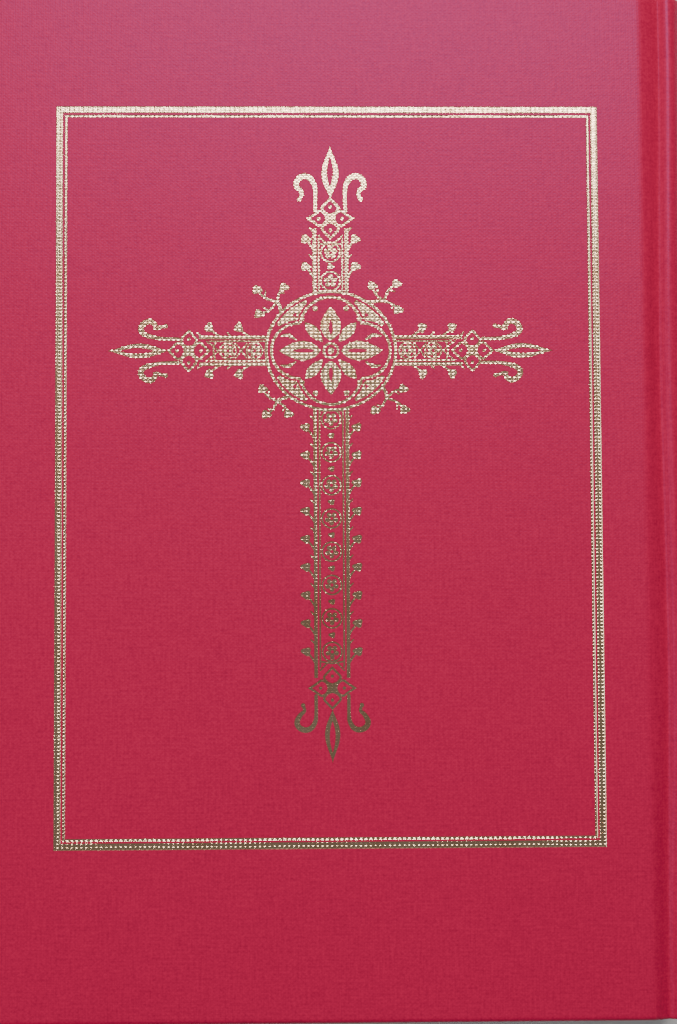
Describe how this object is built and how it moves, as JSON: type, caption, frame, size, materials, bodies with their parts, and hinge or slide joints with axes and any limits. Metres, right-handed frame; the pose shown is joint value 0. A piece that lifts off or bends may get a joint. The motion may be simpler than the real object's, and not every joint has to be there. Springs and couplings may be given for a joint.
{
  "type": "prayer book",
  "caption": "Pocket prayer book in a rounded cloth case binding with a gold stamped frame and ornate cross; both covers open and the block opens.",
  "frame": {"origin": "middle of the closed book's lowest face, which is the outside of the front cover", "axes": "+X towards the spine, +Y towards the head, +Z from the front cover to the back cover"},
  "size_m": [0.104, 0.152, 0.025],
  "materials": {
    "cover_cloth": "fine plain-woven crimson bookcloth with a soft sheen",
    "gold_foil": "pale gold foil stamped into the weave, satin",
    "greyboard": "dense grey binder's board",
    "kraft_paper": "brown kraft lining paper",
    "mull": "open starched cotton mull",
    "tape": "flat woven cotton tape",
    "thread": "waxed linen sewing thread",
    "band_silk": "crimson and cream striped band",
    "endpaper": "heavy matt cream endpaper",
    "leaf_paper": "thin uncoated cream paper"
  },
  "bodies": {
    "block_1": {"signature_01": "leaf_paper", "signature_02": "leaf_paper", "signature_03": "leaf_paper", "signature_04": "leaf_paper", "spine_cloth": "cover_cloth", "spine_inlay": "greyboard", "spine_lining": "kraft_paper", "mull": "mull", "sewing_tapes": "tape", "sewing_thread": "thread", "headband": "band_silk", "tailband": "band_silk", "front_endpaper_joint": "endpaper"},
    "block_2": {"signature_05": "leaf_paper", "signature_06": "leaf_paper", "signature_07": "leaf_paper", "signature_08": "leaf_paper"},
    "block_3": {"signature_09": "leaf_paper", "signature_10": "leaf_paper", "signature_11": "leaf_paper", "signature_12": "leaf_paper"},
    "block_4": {"signature_13": "leaf_paper", "signature_14": "leaf_paper", "signature_15": "leaf_paper", "signature_16": "leaf_paper", "back_endpaper_joint": "endpaper"},
    "front_cover": {"front_board": "greyboard", "front_cover_cloth": "cover_cloth", "front_pastedown": "endpaper", "front_foil_frame": "gold_foil", "front_foil_cross": "gold_foil"},
    "back_cover": {"back_board": "greyboard", "back_cover_cloth": "cover_cloth", "back_pastedown": "endpaper", "back_foil_frame": "gold_foil", "back_foil_cross": "gold_foil"},
    "front_flyleaf": {"front_flyleaf": "endpaper"},
    "back_flyleaf": {"back_flyleaf": "endpaper"}
  },
  "joints": [
    {"name": "front_cover", "type": "hinge", "parent": "block_1", "child": "front_cover", "pos_m": [0.0484, 0, 0.003], "axis": [0, -1, 0], "range_deg": [0, 180], "deforming": ["spine_cloth", "front_endpaper_joint"]},
    {"name": "back_cover", "type": "hinge", "parent": "block_4", "child": "back_cover", "pos_m": [0.0484, 0, 0.022], "axis": [0, 1, 0], "range_deg": [0, 180], "deforming": ["spine_cloth", "back_endpaper_joint"]},
    {"name": "front_flyleaf", "type": "hinge", "parent": "block_1", "child": "front_flyleaf", "pos_m": [0.0473, 0, 0.00313], "axis": [0, -1, 0], "range_deg": [0, 45]},
    {"name": "back_flyleaf", "type": "hinge", "parent": "block_4", "child": "back_flyleaf", "pos_m": [0.0473, 0, 0.02187], "axis": [0, 1, 0], "range_deg": [0, 45]},
    {"name": "opening_quarter", "type": "hinge", "parent": "block_1", "child": "block_2", "pos_m": [0.05155, 0, 0.00788], "axis": [0, -1, 0], "range_deg": [-15, 0], "deforming": ["spine_cloth", "spine_inlay", "spine_lining", "mull", "sewing_tapes", "sewing_thread", "headband", "tailband"]},
    {"name": "opening_middle", "type": "hinge", "parent": "block_2", "child": "block_3", "pos_m": [0.052, 0, 0.0125], "axis": [0, -1, 0], "range_deg": [-180, 0], "deforming": ["spine_cloth", "spine_inlay", "spine_lining", "mull", "sewing_tapes", "sewing_thread", "headband", "tailband"]},
    {"name": "opening_three_quarter", "type": "hinge", "parent": "block_3", "child": "block_4", "pos_m": [0.05155, 0, 0.01713], "axis": [0, -1, 0], "range_deg": [-15, 0], "deforming": ["spine_cloth", "spine_inlay", "spine_lining", "mull", "sewing_tapes", "sewing_thread", "headband", "tailband"]}
  ],
  "couplings": [
    {"joint": "front_flyleaf", "follows": "front_cover", "ratio": 0.25},
    {"joint": "back_flyleaf", "follows": "back_cover", "ratio": 0.25}
  ]
}
